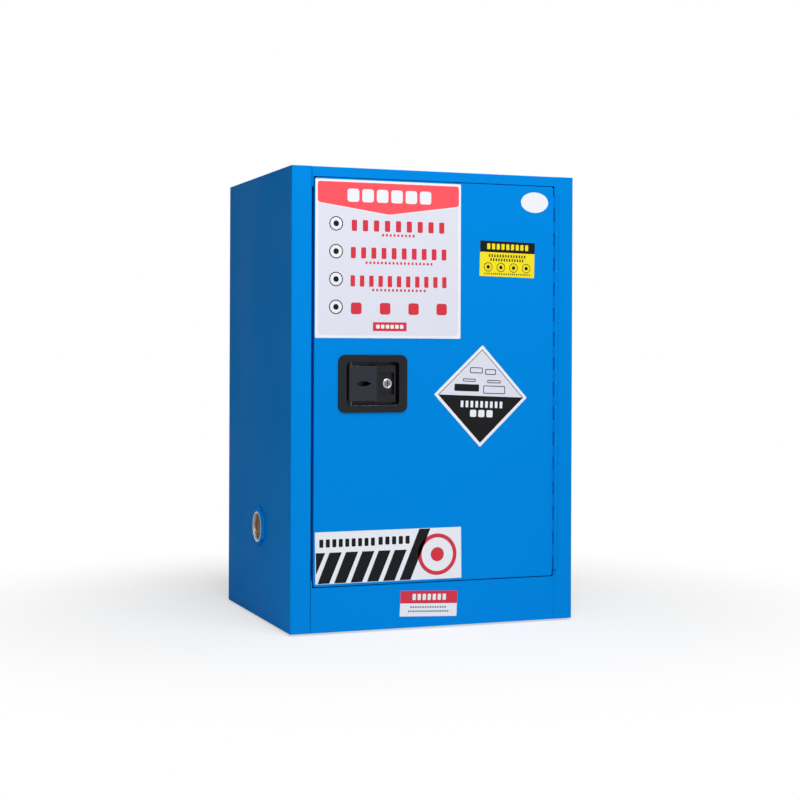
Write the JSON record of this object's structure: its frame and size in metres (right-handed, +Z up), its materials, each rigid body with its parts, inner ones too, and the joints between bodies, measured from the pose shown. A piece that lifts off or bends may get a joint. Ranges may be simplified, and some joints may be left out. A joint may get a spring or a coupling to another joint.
{
  "type": "chemical safety cabinet",
  "caption": "Upright sheet-steel safety cabinet with a hinged door, recessed paddle latch, lift-out shelf, leakproof sump, side vents and levelling feet.",
  "frame": {"origin": "on the floor, in the middle of the cabinet's footprint", "axes": "+X to the right as seen from the front, +Y towards the back, +Z up; the door faces -Y"},
  "size_m": [0.612, 0.4673, 0.89],
  "materials": {
    "blue_paint": "semi-gloss powder coat on sheet steel",
    "galvanised_steel": "hot-dip galvanised sheet",
    "zinc_plate": "bright zinc plate",
    "black_latch": "black powder coat, semi-matt",
    "lock_chrome": "polished",
    "arrester_brass": "woven mesh",
    "foot_plastic": "moulded"
  },
  "bodies": {
    "cabinet": {"side_panel_left": "blue_paint", "side_panel_right": "blue_paint", "top_panel": "blue_paint", "bottom_panel": "blue_paint", "back_panel": "blue_paint", "plinth_rail": "blue_paint", "door_stop": "blue_paint", "liner_left": "blue_paint", "liner_right": "blue_paint", "liner_back": "blue_paint", "liner_top": "blue_paint", "sump_tray": "galvanised_steel", "sump_bearers": "blue_paint", "shelf_standards": "galvanised_steel", "shelf_clips": "galvanised_steel", "foot_nuts": "zinc_plate", "hinge_leaf_frame": "blue_paint", "hinge_pin": "zinc_plate", "vent_hexagon_left": "blue_paint", "vent_hexagon_right": "blue_paint", "vent_nipple_left": "zinc_plate", "vent_nipple_right": "zinc_plate", "vent_lock_nut_left": "zinc_plate", "vent_lock_nut_right": "zinc_plate", "flame_arrester_left": "arrester_brass", "flame_arrester_right": "arrester_brass", "earthing_stud": "zinc_plate", "bolt_strike": "zinc_plate", "rod_strikes": "zinc_plate"},
    "door": {"door_outer_skin": "blue_paint", "door_inner_skin": "blue_paint", "door_stiffeners": "blue_paint", "hinge_leaf_door": "blue_paint", "latch_tray": "black_latch", "tray_clamps": "zinc_plate", "pivot_pin": "zinc_plate", "paddle_spring": "zinc_plate", "latch_housing": "zinc_plate", "housing_posts": "zinc_plate", "latch_screws": "zinc_plate", "rod_guides": "zinc_plate"},
    "paddle": {"paddle": "black_latch", "lock_body": "lock_chrome"},
    "lock": {"lock_plug": "lock_chrome", "lock_cam": "zinc_plate"},
    "rod_cam": {"rod_cam": "zinc_plate"},
    "centre_bolt": {"centre_bolt": "zinc_plate"},
    "top_rod": {"top_rod": "zinc_plate"},
    "bottom_rod": {"bottom_rod": "zinc_plate"},
    "shelf": {"shelf": "galvanised_steel"},
    "foot_front_left": {"foot_front_left": "foot_plastic"},
    "foot_front_right": {"foot_front_right": "foot_plastic"},
    "foot_back_left": {"foot_back_left": "foot_plastic"},
    "foot_back_right": {"foot_back_right": "foot_plastic"}
  },
  "joints": [
    {"name": "door_swing", "type": "hinge", "parent": "cabinet", "child": "door", "pos_m": [0.25668, -0.23388, 0.4775], "axis": [0, 0, 1], "range_deg": [0, 175]},
    {"name": "paddle_pull", "type": "hinge", "parent": "door", "child": "paddle", "pos_m": [-0.1746, -0.226, 0.4769], "axis": [0, 0, -1], "range_deg": [0, 30], "stiffness_Nm_per_rad": 0.25, "springref_deg": -20.05},
    {"name": "lock_turn", "type": "hinge", "parent": "paddle", "child": "lock", "pos_m": [-0.0986, -0.2077, 0.4769], "axis": [0, 1, 0], "range_deg": [0, 90]},
    {"name": "rod_cam_turn", "type": "hinge", "parent": "door", "child": "rod_cam", "pos_m": [-0.1316, -0.198, 0.4769], "axis": [0, -1, 0], "range_deg": [0, 30]},
    {"name": "centre_bolt_slide", "type": "slide", "parent": "door", "child": "centre_bolt", "axis": [1, 0, 0], "range_m": [0, 0.01]},
    {"name": "top_rod_slide", "type": "slide", "parent": "door", "child": "top_rod", "axis": [0, 0, -1], "range_m": [0, 0.01]},
    {"name": "bottom_rod_slide", "type": "slide", "parent": "door", "child": "bottom_rod", "axis": [0, 0, 1], "range_m": [0, 0.01]},
    {"name": "shelf_lift", "type": "slide", "parent": "cabinet", "child": "shelf", "axis": [0, 0, 1], "range_m": [0, 0.03]},
    {"name": "foot_front_left_screw", "type": "slide", "parent": "cabinet", "child": "foot_front_left", "axis": [0, 0, -1], "range_m": [0, 0.015]},
    {"name": "foot_front_right_screw", "type": "slide", "parent": "cabinet", "child": "foot_front_right", "axis": [0, 0, -1], "range_m": [0, 0.015]},
    {"name": "foot_back_left_screw", "type": "slide", "parent": "cabinet", "child": "foot_back_left", "axis": [0, 0, -1], "range_m": [0, 0.015]},
    {"name": "foot_back_right_screw", "type": "slide", "parent": "cabinet", "child": "foot_back_right", "axis": [0, 0, -1], "range_m": [0, 0.015]}
  ],
  "couplings": [
    {"joint": "rod_cam_turn", "follows": "paddle_pull", "ratio": 1},
    {"joint": "centre_bolt_slide", "follows": "paddle_pull", "m_per_rad": 0.0191},
    {"joint": "top_rod_slide", "follows": "paddle_pull", "m_per_rad": 0.0191},
    {"joint": "bottom_rod_slide", "follows": "paddle_pull", "m_per_rad": 0.0191}
  ]
}
